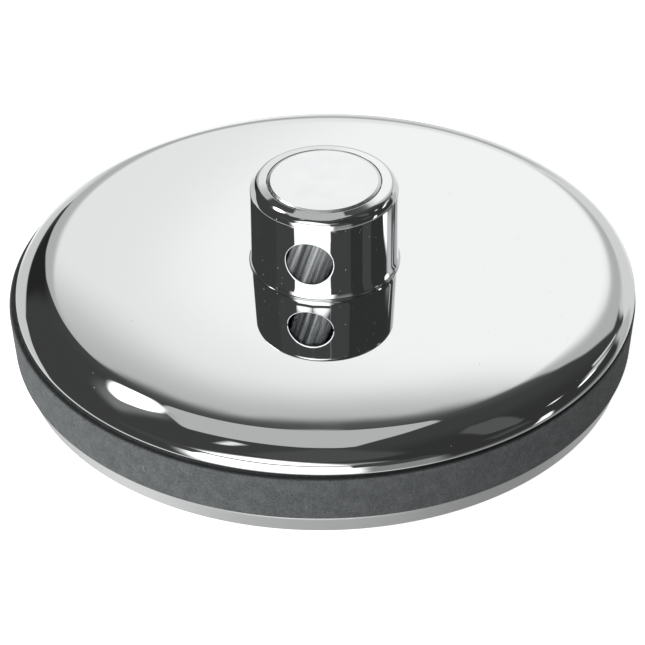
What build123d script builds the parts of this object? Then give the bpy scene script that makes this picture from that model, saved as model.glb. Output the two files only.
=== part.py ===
from build123d import *
import math
import os

# A domed drain stopper with a turning finger knob. Millimetres, +Z up.
# The origin is on the knob's axis, at the level of the surface that the stopper stands on.
# The cross hole runs along Y. Driving sizes come first, piece by piece.

# Domed cover, pressed from sheet
cover_radius = 42.5
cover_wall = 1.2
crown_radius = 400.0
shoulder_radius = 12.0
edge_radius = 1.9
edge_lean = 28.4
rim_rounding = 0.25

# Finger knob, turned in one piece with its shank
knob_radius = 10.05
knob_height = 12.31
knob_top_radius = 2.3
knob_shoulder_radius = 1.25
knob_top_lean = 20.0
knob_flare_radius = 4.25
knob_flare_turn = 18.5
knob_foot_rounding = 0.2
knob_gap = 0.05
cross_hole_radius = 3.2
cross_hole_rise = 5.5
cross_hole_chamfer = 0.25
shank_radius = 3.0
shank_tip_chamfer = 0.25
shank_floor_gap = 0.3
running_clearance = 0.05

# Flat inlay in the knob's top
inlay_land = 0.74
inlay_thickness = 1.0
inlay_stand_out = 0.25
inlay_gap = 0.12
inlay_chamfer_width = 0.42
inlay_chamfer_height = 0.14

# Thrust washer and O-ring under the knob
washer_width = 2.3
washer_inner_step = 0.7
washer_thickness = 0.65
washer_gap = 0.2
o_ring_section = 1.4
o_ring_gap = 0.1

# Flanged hub that is brazed under the cover
hub_flange_radius = 11.0
hub_flange_thickness = 0.7
hub_body_radius = 6.2
hub_braze_gap = 0.05

# Spring clips in the shank's two grooves
clip_reach = 1.8
clip_ring_width = 1.1
clip_thickness = 0.6
clip_prong_width = 1.6
clip_mouth_width = 3.6
clip_mouth_length = 3.3
clip_groove_depth = 0.6
clip_end_play = 0.06
clip_seat_gap = 0.04
clip_tip_margin = 0.4

# Bottom plate, pressed from sheet
plate_inset = 0.05
plate_seat_height = 2.76
plate_taper = 0.85
plate_wall = 1.2
plate_edge_rounding = 0.6
plate_centre_slope = 2.2
plate_bend_rounding = 1.5

# Captive nut and sealing washer at the plate's centre
nut_collar_wall = 1.35
nut_collar_gap = 0.05
nut_shoulder = 0.6
nut_height = 3.2
nut_chamfer = 0.7
seal_washer_inner_gap = 0.3
seal_washer_reach = 4.05
seal_washer_thickness = 1.0
seal_washer_clearance = 0.3

# Rubber ring that seals against the drain
ring_height = 7.09
ring_width = 9.05
ring_inner_gap = 0.3
ring_lip_overhang = 0.5
ring_lip_drop = 0.35
ring_lip_rounding = 0.45
ring_foot_rounding = 0.3
ring_land_inset = 0.35
ring_spigot_gap = 0.5
ring_spigot_height = 0.35

# Screw motion of the knob, whose thread has one start
thread_pitch = 1.0
loosening_turns = 3
stop_gap = 0.3

# Cover's arcs, each tangent to the next: crown, shoulder and edge
cover_rim_height = plate_seat_height + ring_height
edge_centre = Vector(cover_radius - edge_radius, cover_rim_height)
shoulder_reach = shoulder_radius - edge_radius
shoulder_centre = edge_centre - Vector(
    shoulder_reach * math.sin(math.radians(edge_lean)),
    shoulder_reach * math.cos(math.radians(edge_lean)),
)
crown_reach = crown_radius - shoulder_radius
crown_lean = math.degrees(math.asin(shoulder_centre.X / crown_reach))
crown_centre = Vector(0, shoulder_centre.Y - crown_reach * math.cos(math.radians(crown_lean)))
crown_height = crown_centre.Y + crown_radius

# Heights, worked out from the floor up and from the crown
lift = thread_pitch * loosening_turns
stop_clip_bottom = shank_floor_gap + clip_tip_margin
nut_bottom = stop_clip_bottom + clip_thickness + stop_gap + lift
nut_top = nut_bottom + nut_height
plate_centre_height = nut_top + plate_wall
cover_clip_bottom = plate_centre_height + seal_washer_thickness + seal_washer_clearance
hub_bottom = cover_clip_bottom + clip_thickness + clip_end_play
crown_sag_at_hub = crown_radius - math.sqrt(crown_radius**2 - hub_flange_radius**2)
hub_top = crown_height - cover_wall - crown_sag_at_hub - hub_braze_gap
knob_base = crown_height + knob_gap
knob_top = knob_base + knob_height
cross_hole_height = crown_height + cross_hole_rise
ring_lip_height = cover_rim_height - ring_lip_drop

# Radii, worked out from the cover, the shank and the knob
shank_bore_radius = shank_radius + running_clearance
clip_radius = shank_radius + clip_reach
knob_flare_lean = math.radians(knob_flare_turn)
foot_radius = knob_radius + knob_flare_radius * (1 - math.cos(knob_flare_lean))
flare_height = knob_flare_radius * math.sin(knob_flare_lean)
knob_shoulder_inset = knob_top_radius - knob_shoulder_radius
knob_top_side = knob_shoulder_inset * math.sin(math.radians(knob_top_lean))
knob_top_rise = knob_shoulder_inset * math.cos(math.radians(knob_top_lean))
knob_land_radius = knob_radius - knob_shoulder_radius - knob_top_side
inlay_radius = knob_land_radius - inlay_land
o_ring_recess_radius = shank_radius + 2 * o_ring_gap + o_ring_section
washer_inner_radius = o_ring_recess_radius + washer_inner_step
washer_outer_radius = washer_inner_radius + washer_width
nut_collar_radius = shank_bore_radius + nut_collar_wall
nut_across_flats = 2 * (nut_collar_radius + nut_shoulder)
plate_hole_radius = nut_collar_radius + nut_collar_gap
seal_washer_radius = plate_hole_radius + seal_washer_reach
plate_seat_radius = cover_radius - plate_inset
plate_foot_radius = plate_seat_radius - plate_taper
ring_inner_radius = plate_seat_radius - ring_width
ring_lip_radius = cover_radius + ring_lip_overhang
ring_land_radius = cover_radius - ring_land_inset
spigot_radius = cover_radius - cover_wall - ring_spigot_gap
plate_centre_foot_radius = ring_inner_radius - ring_inner_gap - plate_bend_rounding
plate_centre_top_radius = plate_centre_foot_radius - plate_centre_slope


def cover_arcs(inset):
    """Draw the cover's three tangent arcs, moved inwards by inset, from rim to axis."""
    upright = 90
    CenterArc(edge_centre, edge_radius - inset, 0, upright - edge_lean)
    CenterArc(shoulder_centre, shoulder_radius - inset, upright - edge_lean, edge_lean - crown_lean)
    CenterArc(crown_centre, crown_radius - inset, upright - crown_lean, crown_lean)


def e_clip(base_height):
    """Make one spring clip that grips the shank's groove on three prongs."""
    ring_inside = clip_radius - clip_ring_width
    prong_tip = shank_radius - clip_groove_depth + clip_seat_gap
    prong_length = clip_radius - prong_tip - clip_ring_width / 2
    with BuildPart() as clip:
        with BuildSketch(Plane.XY.offset(base_height)):
            Circle(clip_radius)
            Circle(ring_inside, mode=Mode.SUBTRACT)
            with PolarLocations(prong_tip, 3, start_angle=90):
                Rectangle(prong_length, clip_prong_width, align=(Align.MIN, Align.CENTER))
            with Locations((0, -clip_radius)):
                Rectangle(clip_mouth_width, clip_mouth_length, mode=Mode.SUBTRACT)
        extrude(amount=clip_thickness)
    return clip


# Cover: three tangent arcs outside and the same arcs one wall further in
with BuildPart() as cover:
    with BuildSketch(Plane.XZ):
        with BuildLine():
            cover_arcs(0)
            cover_arcs(cover_wall)
            Line((0, crown_height), (0, crown_height - cover_wall))
            Line((cover_radius, cover_rim_height), (cover_radius - cover_wall, cover_rim_height))
        make_face()
    revolve(axis=Axis.Z)
    rim_edges = cover.edges().filter_by(GeomType.CIRCLE).group_by(Axis.Z)[0]
    fillet(rim_edges.sort_by(SortBy.RADIUS)[-1], radius=rim_rounding)
    with Locations((0, 0, crown_height)):
        Hole(radius=shank_bore_radius)
cover.part.label = "cover"

# Cover hub: a flanged bush that guides the shank below the cover
with BuildPart() as cover_hub:
    with BuildSketch(Plane.XY.offset(hub_bottom)):
        Circle(hub_body_radius)
    extrude(amount=hub_top - hub_bottom)
    with BuildSketch(Plane.XY.offset(hub_top)):
        Circle(hub_flange_radius)
    extrude(amount=-hub_flange_thickness)
    with Locations((0, 0, hub_top)):
        Hole(radius=shank_bore_radius)
cover_hub.part.label = "cover_hub"

# Knob: head with a flared foot, and shank, with recesses for the washer, the O-ring and the inlay
washer_recess = washer_thickness - knob_gap
o_ring_recess = o_ring_section - knob_gap
washer_recess_radius = washer_outer_radius + washer_gap
inlay_recess_radius = inlay_radius + inlay_gap
inlay_top = knob_top + inlay_stand_out
inlay_floor = inlay_top - inlay_thickness
top_centre = Vector(knob_land_radius, knob_top - knob_top_radius)
shoulder_top_centre = top_centre + Vector(knob_top_side, knob_top_rise)
flare_centre = Vector(knob_radius + knob_flare_radius, knob_base + flare_height)
with BuildPart() as knob:
    with BuildSketch(Plane.XZ):
        with BuildLine():
            Polyline(
                (knob_land_radius, knob_top),
                (inlay_recess_radius, knob_top),
                (inlay_recess_radius, inlay_floor),
                (0, inlay_floor),
                (0, shank_floor_gap),
                (shank_radius, shank_floor_gap),
                (shank_radius, knob_base + o_ring_recess),
                (o_ring_recess_radius, knob_base + o_ring_recess),
                (o_ring_recess_radius, knob_base + washer_recess),
                (washer_recess_radius, knob_base + washer_recess),
                (washer_recess_radius, knob_base),
                (foot_radius, knob_base),
            )
            flare = CenterArc(flare_centre, knob_flare_radius, 180, knob_flare_turn)
            shoulder = CenterArc(shoulder_top_centre, knob_shoulder_radius, 0, 90 - knob_top_lean)
            CenterArc(top_centre, knob_top_radius, 90 - knob_top_lean, knob_top_lean)
            Line(flare @ 0, shoulder @ 0)
        make_face()
    revolve(axis=Axis.Z)
    foot_edge = knob.edges().filter_by(GeomType.CIRCLE).sort_by(SortBy.RADIUS)[-1]
    fillet(foot_edge, radius=knob_foot_rounding)
    tip_edge = knob.edges().filter_by(GeomType.CIRCLE).sort_by(Axis.Z)[0]
    chamfer(tip_edge, length=shank_tip_chamfer)
    with Locations(Location((0, 0, cross_hole_height), (90, 0, 0))):
        Hole(radius=cross_hole_radius)
    mouth_edges = knob.edges().filter_by(GeomType.BSPLINE)
    chamfer(mouth_edges, length=cross_hole_chamfer)
    for groove_bottom in (stop_clip_bottom, cover_clip_bottom):
        with BuildSketch(Plane.XY.offset(groove_bottom - clip_seat_gap)):
            Circle(shank_radius + clip_groove_depth)
            Circle(shank_radius - clip_groove_depth, mode=Mode.SUBTRACT)
        extrude(amount=clip_thickness + 2 * clip_seat_gap, mode=Mode.SUBTRACT)
knob.part.label = "knob"

# Knob inlay: a flat disc, a little proud of the knob's top, with a wide shallow chamfer
with BuildPart() as knob_inlay:
    with BuildSketch(Plane.XZ):
        with BuildLine():
            Polyline(
                (0, inlay_floor),
                (inlay_radius, inlay_floor),
                (inlay_radius, inlay_top - inlay_chamfer_height),
                (inlay_radius - inlay_chamfer_width, inlay_top),
                (0, inlay_top),
                close=True,
            )
        make_face()
    revolve(axis=Axis.Z)
knob_inlay.part.label = "knob_inlay"

# Thrust washer: slippery plastic, lying on the crown inside the knob's foot
with BuildPart() as thrust_washer:
    with BuildSketch(Plane.XY.offset(crown_height)):
        Circle(washer_outer_radius)
        Circle(washer_inner_radius, mode=Mode.SUBTRACT)
    extrude(amount=washer_thickness)
thrust_washer.part.label = "thrust_washer"

# O-ring: keeps water from running down the shank
o_ring_centre_radius = shank_radius + o_ring_gap + o_ring_section / 2
with BuildPart() as shank_o_ring:
    with BuildSketch(Plane.XZ):
        with Locations((o_ring_centre_radius, crown_height + o_ring_section / 2)):
            Circle(o_ring_section / 2)
    revolve(axis=Axis.Z)
shank_o_ring.part.label = "shank_o_ring"

# Clips: the upper one carries the cover up with the knob, the lower one ends the unscrewing
cover_clip = e_clip(cover_clip_bottom)
cover_clip.part.label = "cover_clip"
stop_clip = e_clip(stop_clip_bottom)
stop_clip.part.label = "stop_clip"

# Bottom plate: a skirt to stand on, a flat seat for the ring and a raised centre over the nut
centre_foot = (plate_centre_foot_radius, plate_seat_height)
centre_top = (plate_centre_top_radius, plate_centre_height)
seat_edge = (plate_seat_radius, plate_seat_height)
centre_foot_under = (plate_centre_foot_radius - plate_wall, plate_seat_height - plate_wall)
centre_top_under = (plate_centre_top_radius - plate_wall, plate_centre_height - plate_wall)
seat_under = (plate_seat_radius - plate_wall - plate_edge_rounding, plate_seat_height - plate_wall)
with BuildPart() as bottom_plate:
    with BuildSketch(Plane.XZ) as plate_section:
        with BuildLine():
            Polyline(
                (plate_foot_radius, 0),
                seat_edge,
                centre_foot,
                centre_top,
                (0, plate_centre_height),
                (0, plate_centre_height - plate_wall),
                centre_top_under,
                centre_foot_under,
                seat_under,
                (plate_foot_radius - plate_wall, 0),
                close=True,
            )
        make_face()
        bends = {
            centre_foot: plate_bend_rounding,
            centre_top: plate_bend_rounding,
            seat_edge: plate_edge_rounding,
            centre_foot_under: plate_bend_rounding + plate_wall,
            centre_top_under: plate_bend_rounding - plate_wall,
        }
        for bend, rounding in bends.items():
            fillet(plate_section.vertices().sort_by_distance(bend)[0], radius=rounding)
    revolve(axis=Axis.Z)
    with Locations((0, 0, plate_centre_height)):
        Hole(radius=plate_hole_radius)
bottom_plate.part.label = "bottom_plate"

# Captive nut: hexagon under the plate, with a round collar that fills the plate's hole
with BuildPart() as captive_nut:
    with BuildSketch(Plane.XY.offset(nut_bottom)):
        RegularPolygon(radius=nut_across_flats / 2, side_count=6, major_radius=False)
    extrude(amount=nut_height)
    corner_radius = nut_across_flats / math.sqrt(3)
    with BuildSketch(Plane.XZ):
        with BuildLine():
            Polyline(
                (0, nut_bottom),
                (corner_radius - nut_chamfer, nut_bottom),
                (corner_radius, nut_bottom + nut_chamfer / 2),
                (corner_radius, nut_top),
                (0, nut_top),
                close=True,
            )
        make_face()
    revolve(axis=Axis.Z, mode=Mode.INTERSECT)
    with BuildSketch(Plane.XY.offset(nut_top)):
        Circle(nut_collar_radius)
    extrude(amount=plate_wall)
    with Locations((0, 0, plate_centre_height)):
        Hole(radius=shank_bore_radius)
captive_nut.part.label = "captive_nut"

# Sealing washer: soft, on the plate's raised centre around the shank
with BuildPart() as seal_washer:
    with BuildSketch(Plane.XY.offset(plate_centre_height)):
        Circle(seal_washer_radius)
        Circle(shank_radius + seal_washer_inner_gap, mode=Mode.SUBTRACT)
    extrude(amount=seal_washer_thickness)
seal_washer.part.label = "seal_washer"

# Rubber ring: a tapered wall with a lip, a land under the cover's rim and a spigot inside it
ring_foot = (plate_seat_radius, plate_seat_height)
ring_lip = (ring_lip_radius, ring_lip_height)
with BuildPart() as seal_ring:
    with BuildSketch(Plane.XZ) as ring_section:
        with BuildLine():
            Polyline(
                (ring_inner_radius, plate_seat_height),
                ring_foot,
                ring_lip,
                (ring_land_radius, ring_lip_height),
                (ring_land_radius, cover_rim_height),
                (spigot_radius, cover_rim_height),
                (spigot_radius, cover_rim_height + ring_spigot_height),
                (ring_inner_radius, cover_rim_height + ring_spigot_height),
                close=True,
            )
        make_face()
        for corner, rounding in ((ring_lip, ring_lip_rounding), (ring_foot, ring_foot_rounding)):
            fillet(ring_section.vertices().sort_by_distance(corner)[0], radius=rounding)
    revolve(axis=Axis.Z)
seal_ring.part.label = "seal_ring"

# One file for each piece
pieces = [
    cover,
    cover_hub,
    knob,
    knob_inlay,
    thrust_washer,
    shank_o_ring,
    cover_clip,
    stop_clip,
    bottom_plate,
    captive_nut,
    seal_washer,
    seal_ring,
]
os.makedirs("parts", exist_ok=True)
for piece in pieces:
    export_step(piece.part, f"parts/{piece.part.label}.step")
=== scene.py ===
"""Looks of a domed drain stopper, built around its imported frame.

Everything is in metres in the frame's own axes: +Z up along the knob's axis, and the cross hole along Y.
"""

from __future__ import annotations

import logging
import math
from dataclasses import dataclass, field
from enum import Enum
from typing import Sequence, Union

import bmesh
import bpy
from mathutils import Matrix, Vector


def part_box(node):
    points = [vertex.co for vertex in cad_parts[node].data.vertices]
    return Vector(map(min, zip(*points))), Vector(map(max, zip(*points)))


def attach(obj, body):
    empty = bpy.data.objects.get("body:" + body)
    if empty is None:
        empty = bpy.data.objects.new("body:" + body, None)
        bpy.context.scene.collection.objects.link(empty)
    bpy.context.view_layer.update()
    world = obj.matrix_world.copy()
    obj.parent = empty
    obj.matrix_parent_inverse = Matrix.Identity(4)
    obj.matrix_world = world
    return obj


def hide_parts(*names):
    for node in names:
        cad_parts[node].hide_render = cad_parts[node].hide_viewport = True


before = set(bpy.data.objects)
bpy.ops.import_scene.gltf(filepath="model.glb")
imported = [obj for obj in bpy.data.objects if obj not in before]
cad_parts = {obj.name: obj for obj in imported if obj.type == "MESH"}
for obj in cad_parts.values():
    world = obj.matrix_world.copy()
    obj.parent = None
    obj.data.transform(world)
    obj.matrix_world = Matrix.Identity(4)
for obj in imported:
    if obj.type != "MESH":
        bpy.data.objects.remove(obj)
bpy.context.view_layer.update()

LOG = logging.getLogger("drain_stopper")
MM = 0.001
WELD = 0.0005 * MM
QUARTER_TURN = 90.0
HALF_TURN = 180.0

Point = tuple[float, float]
Colour = tuple[float, float, float]


def outer_radius(node: str) -> float:
    """Measure how far a CAD node reaches from the knob's axis.

    Args:
        node: Name of the CAD node.

    Returns:
        The largest distance of its points from the axis.
    """
    return max(math.hypot(v.co.x, v.co.y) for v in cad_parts[node].data.vertices)


class Socket:
    """A node's output, with the operators that the shaders' maths uses."""

    def __init__(self, kit: "NodeKit", link: bpy.types.NodeSocket) -> None:
        self.kit = kit
        self.link = link

    def _math(self, operation: str, first: "Value", second: "Value") -> "Socket":
        """Add one Math node for an operation on two values."""
        return self.kit.node("ShaderNodeMath", {"operation": operation}, {0: first, 1: second})

    def __add__(self, other: "Value") -> "Socket":
        """Return self + other."""
        return self._math("ADD", self, other)

    def __radd__(self, other: "Value") -> "Socket":
        """Return other + self."""
        return self._math("ADD", other, self)

    def __sub__(self, other: "Value") -> "Socket":
        """Return self - other."""
        return self._math("SUBTRACT", self, other)

    def __rsub__(self, other: "Value") -> "Socket":
        """Return other - self."""
        return self._math("SUBTRACT", other, self)

    def __mul__(self, other: "Value") -> "Socket":
        """Return self * other."""
        return self._math("MULTIPLY", self, other)

    def __rmul__(self, other: "Value") -> "Socket":
        """Return other * self."""
        return self._math("MULTIPLY", other, self)

    def __truediv__(self, other: "Value") -> "Socket":
        """Return self / other."""
        return self._math("DIVIDE", self, other)

    def __gt__(self, other: "Value") -> "Socket":
        """Return 1 where self is greater than other, else 0."""
        return self._math("GREATER_THAN", self, other)

    def __lt__(self, other: "Value") -> "Socket":
        """Return 1 where self is less than other, else 0."""
        return self._math("LESS_THAN", self, other)

    def fraction(self) -> "Socket":
        """Return the part after the decimal point."""
        return self._math("FRACT", self, 0.0)

    def size(self) -> "Socket":
        """Return the value without its sign."""
        return self._math("ABSOLUTE", self, 0.0)

    def maximum(self, other: "Value") -> "Socket":
        """Return the larger of self and other."""
        return self._math("MAXIMUM", self, other)

    def ramp(self, low: float, high: float) -> "Socket":
        """Return 0 at low and 1 at high, smoothly in between."""
        return self.kit.node(
            "ShaderNodeMapRange",
            {"interpolation_type": "SMOOTHSTEP", "clamp": False},
            {"Value": self, "From Min": low, "From Max": high},
        )


Value = Union[Socket, float, int, Sequence[float]]


class NodeKit:
    """Adds nodes to one node tree."""

    def __init__(self, tree: bpy.types.NodeTree) -> None:
        """Keep the tree and empty it."""
        self.tree = tree
        self.tree.nodes.clear()

    def node(
        self,
        kind: str,
        settings: dict[str, object] | None = None,
        values: dict[Union[str, int], object] | None = None,
        output: Union[str, int] = 0,
    ) -> Socket:
        """Add a node of any type.

        Args:
            kind: Type name of the node.
            settings: Properties, set before the inputs.
            values: Links or values of its inputs, by name or by number.
            output: Name or number of the output to return.

        Returns:
            That output.
        """
        made = self.tree.nodes.new(kind)
        for name, setting in (settings or {}).items():
            setattr(made, name, setting)
        for key, value in (values or {}).items():
            self._feed(self._find(made.inputs, key), value)
        return Socket(self, self._find(made.outputs, output)) if made.outputs else None

    @staticmethod
    def _find(sockets: bpy.types.bpy_prop_collection, key: Union[str, int]) -> bpy.types.NodeSocket:
        """Return a socket by number, or the one in use that has a name."""
        if isinstance(key, int):
            return sockets[key]
        return next(s for s in sockets if s.name == key and s.enabled)

    def _feed(self, socket: bpy.types.NodeSocket, value: object) -> None:
        """Link an output to an input, or set the input's own value."""
        if isinstance(value, Socket):
            self.tree.links.new(value.link, socket)
        elif socket.type == "RGBA":
            socket.default_value = (*value, 1.0)
        else:
            socket.default_value = value

    def mix_colour(self, share: Value, low: Value, high: Value) -> Socket:
        """Mix two colours by a share from 0 to 1."""
        values = {"Factor": share, "A": low, "B": high}
        return self.node("ShaderNodeMix", {"data_type": "RGBA"}, values, "Result")

    def vector(self, operation: str, first: Value, second: Value, output: Union[str, int] = 0) -> Socket:
        """Add one Vector Math node."""
        return self.node("ShaderNodeVectorMath", {"operation": operation}, {0: first, 1: second}, output)

    def axes(self, place: Socket) -> list[Socket]:
        """Split a vector into its three coordinates."""
        return [self.node("ShaderNodeSeparateXYZ", values={"Vector": place}, output=axis) for axis in "XYZ"]

    def join(self, x: Value, y: Value, z: Value) -> Socket:
        """Join three coordinates into a vector."""
        return self.node("ShaderNodeCombineXYZ", values={"X": x, "Y": y, "Z": z})

    def round_axis(self, place: Socket) -> tuple[Socket, Socket]:
        """Return a place's distance from the knob's axis, and its angle round it."""
        flat = self.vector("MULTIPLY", place, (1, 1, 0))
        away = self.node("ShaderNodeVectorMath", {"operation": "LENGTH"}, {0: flat}, "Value")
        x, y, _ = self.axes(place)
        return away, self.node("ShaderNodeMath", {"operation": "ARCTAN2"}, {0: y, 1: x})


class GeometryTree:
    """A Geometry Nodes tree with named inputs, used once and applied."""

    def __init__(self, name: str, inputs: dict[str, str]) -> None:
        """Make the tree with a geometry input, the named inputs and a geometry output."""
        self.tree = bpy.data.node_groups.new(name, "GeometryNodeTree")
        self.kit = NodeKit(self.tree)
        shape = "NodeSocketGeometry"
        self.tree.interface.new_socket("Geometry", in_out="INPUT", socket_type=shape)
        self.identifiers = {}
        for label, kind in inputs.items():
            made = self.tree.interface.new_socket(label, in_out="INPUT", socket_type=kind)
            self.identifiers[label] = made.identifier
        self.tree.interface.new_socket("Geometry", in_out="OUTPUT", socket_type=shape)
        self._entry = self.tree.nodes.new("NodeGroupInput")

    def input(self, label: str = "Geometry") -> Socket:
        """Return one of the tree's inputs."""
        return Socket(self.kit, self._entry.outputs[label])

    def close(self, geometry: Socket, finish: Socket, where: Value = True) -> None:
        """End the tree in Realize Instances, Set Material and the output."""
        real = self.kit.node("GeometryNodeRealizeInstances", values={"Geometry": geometry})
        dressed = self.kit.node(
            "GeometryNodeSetMaterial", values={"Geometry": real, "Selection": where, "Material": finish}
        )
        self.kit.node("NodeGroupOutput", values={"Geometry": dressed})

    def bake(self, piece: bpy.types.Object, values: dict[str, object]) -> bpy.types.Object:
        """Run the tree on a piece and leave it as a plain mesh.

        Args:
            piece: The object to shape.
            values: A value for each named input.

        Returns:
            The same object, with its new mesh and no modifier.
        """
        modifier = piece.modifiers.new(self.tree.name, "NODES")
        modifier.node_group = self.tree
        for label, value in values.items():
            modifier[self.identifiers[label]] = value
        graph = bpy.context.evaluated_depsgraph_get()
        mesh = bpy.data.meshes.new_from_object(piece.evaluated_get(graph))
        piece.modifiers.remove(modifier)
        rough = piece.data
        piece.data = mesh
        bpy.data.meshes.remove(rough)
        mesh.name = piece.name
        return piece


@dataclass
class Outline:
    """Half the section of a turned piece, as points of radius and height."""

    points: list[Point] = field(default_factory=list)
    hold: float = 0.04 * MM
    long_span: float = 0.24 * MM
    arc_step: float = 6.0
    fine: float = 0.1 * MM
    fine_step: float = 18.0

    def arc(self, centre: Point, radius: float, start: float, end: float, steps: int = 0) -> "Outline":
        """Add an arc.

        Args:
            centre: Radius and height of its centre.
            radius: Radius of the arc.
            start: First angle in degrees, from the outward direction, upwards.
            end: Last angle.
            steps: Number of spans, or 0 for one span each arc_step.

        Returns:
            The outline, for more calls.
        """
        spans = steps or max(2, math.ceil(abs(end - start) / self.arc_step))
        for i in range(spans + 1):
            angle = math.radians(start + (end - start) * i / spans)
            self._add(centre[0] + radius * math.cos(angle), centre[1] + radius * math.sin(angle), i == 0)
        return self

    def corners(self, places: Sequence[tuple[float, float, float]]) -> "Outline":
        """Add a run of straight lines with rounded corners.

        Args:
            places: Radius, height and rounding of each corner.

        Returns:
            The outline, for more calls.
        """
        for i, (radius, height, rounding) in enumerate(places):
            here = Vector((radius, height))
            if rounding <= 0 or i in (0, len(places) - 1):
                self._add(radius, height)
                continue
            before = (Vector(places[i - 1][:2]) - here).normalized()
            after = (Vector(places[i + 1][:2]) - here).normalized()
            half = before.angle(after) / 2
            reach = rounding / math.tan(half)
            centre = here + (before + after).normalized() * (rounding / math.sin(half))
            first = here + before * reach - centre
            last = here + after * reach - centre
            turn = first.angle_signed(last)
            span = self.fine_step if rounding < self.fine else self.arc_step
            spans = max(2, math.ceil(abs(math.degrees(turn)) / span))
            for k in range(spans + 1):
                at = centre + Matrix.Rotation(-turn * k / spans, 2) @ first
                self._add(at.x, at.y)
        return self

    def _add(self, radius: float, height: float, straight: bool = True) -> None:
        """Add a point; a long straight span gets two more beside its ends, which keep its shading flat."""
        if self.points:
            last = Vector(self.points[-1])
            step = Vector((radius, height)) - last
            if step.length < WELD:
                return
            if straight and step.length > self.long_span:
                unit = step.normalized() * self.hold
                self.points.append(tuple(last + unit))
                self.points.append((radius - unit.x, height - unit.y))
        self.points.append((radius, height))


class Turning:
    """Turns outlines round the knob's axis with one Geometry Nodes tree."""

    def __init__(self) -> None:
        """Build the tree."""
        self.tree = GeometryTree(
            "turned_piece",
            {
                "Steps Around": "NodeSocketInt",
                "Turning Radius": "NodeSocketFloat",
                "Finish": "NodeSocketMaterial",
            },
        )
        kit = self.tree.kit
        steps, reach = self.tree.input("Steps Around"), self.tree.input("Turning Radius")
        section = kit.node("GeometryNodeMeshToCurve", values={"Mesh": self.tree.input()})
        inwards = kit.join(0.0 - reach, 0.0, 0.0)
        upright = (1.0, -1.0, 1.0)
        section = kit.node(
            "GeometryNodeTransform", values={"Geometry": section, "Translation": inwards, "Scale": upright}
        )
        path = kit.node("GeometryNodeCurvePrimitiveCircle", values={"Resolution": steps, "Radius": reach})
        body = kit.node("GeometryNodeCurveToMesh", values={"Curve": path, "Profile Curve": section})
        body = kit.node("GeometryNodeMergeByDistance", values={"Geometry": body, "Distance": WELD})
        body = kit.node("GeometryNodeSetShadeSmooth", values={"Geometry": body})
        self.tree.close(body, self.tree.input("Finish"))

    def turn(
        self, name: str, outline: Outline, finish: bpy.types.Material, steps: int, closed: bool = True
    ) -> bpy.types.Object:
        """Make one turned piece.

        Args:
            name: Name of the piece.
            outline: Its half section; an open one starts and ends on the axis.
            finish: Its material.
            steps: Number of steps round the axis.
            closed: Whether the outline returns to its first point.

        Returns:
            The piece, as a plain closed mesh.
        """
        count = len(outline.points)
        edges = [(i, (i + 1) % count) for i in range(count if closed else count - 1)]
        wire = bpy.data.meshes.new(name)
        wire.from_pydata([(r, h, 0.0) for r, h in outline.points], edges, [])
        piece = bpy.data.objects.new(name, wire)
        bpy.context.scene.collection.objects.link(piece)
        reach = max(r for r, _ in outline.points)
        self.tree.bake(piece, {"Steps Around": steps, "Turning Radius": reach, "Finish": finish})
        body = bmesh.new()
        body.from_mesh(piece.data)
        close_up(body, piece.data)
        return piece


def close_up(body: bmesh.types.BMesh, mesh: bpy.types.Mesh) -> None:
    """Weld doubled points, point all faces outwards, smooth their shading and store them in a mesh."""
    bmesh.ops.remove_doubles(body, verts=body.verts, dist=WELD)
    bmesh.ops.recalc_face_normals(body, faces=body.faces)
    for face in body.faces:
        face.smooth = True
    body.to_mesh(mesh)
    body.free()


def stand_for(piece: bpy.types.Object, node: str, body: str) -> None:
    """Let a finished piece ride on a body in place of one CAD node."""
    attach(piece, body)
    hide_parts(node)
    LOG.info("%s: %d faces, on %s, for node %s", piece.name, len(piece.data.polygons), body, node)


class Spread(Enum):
    """How a finish's marks lie on the piece."""

    EVEN = "even"
    ROUND_AXIS = "round_axis"
    ALONG_HOLE = "along_hole"


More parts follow.
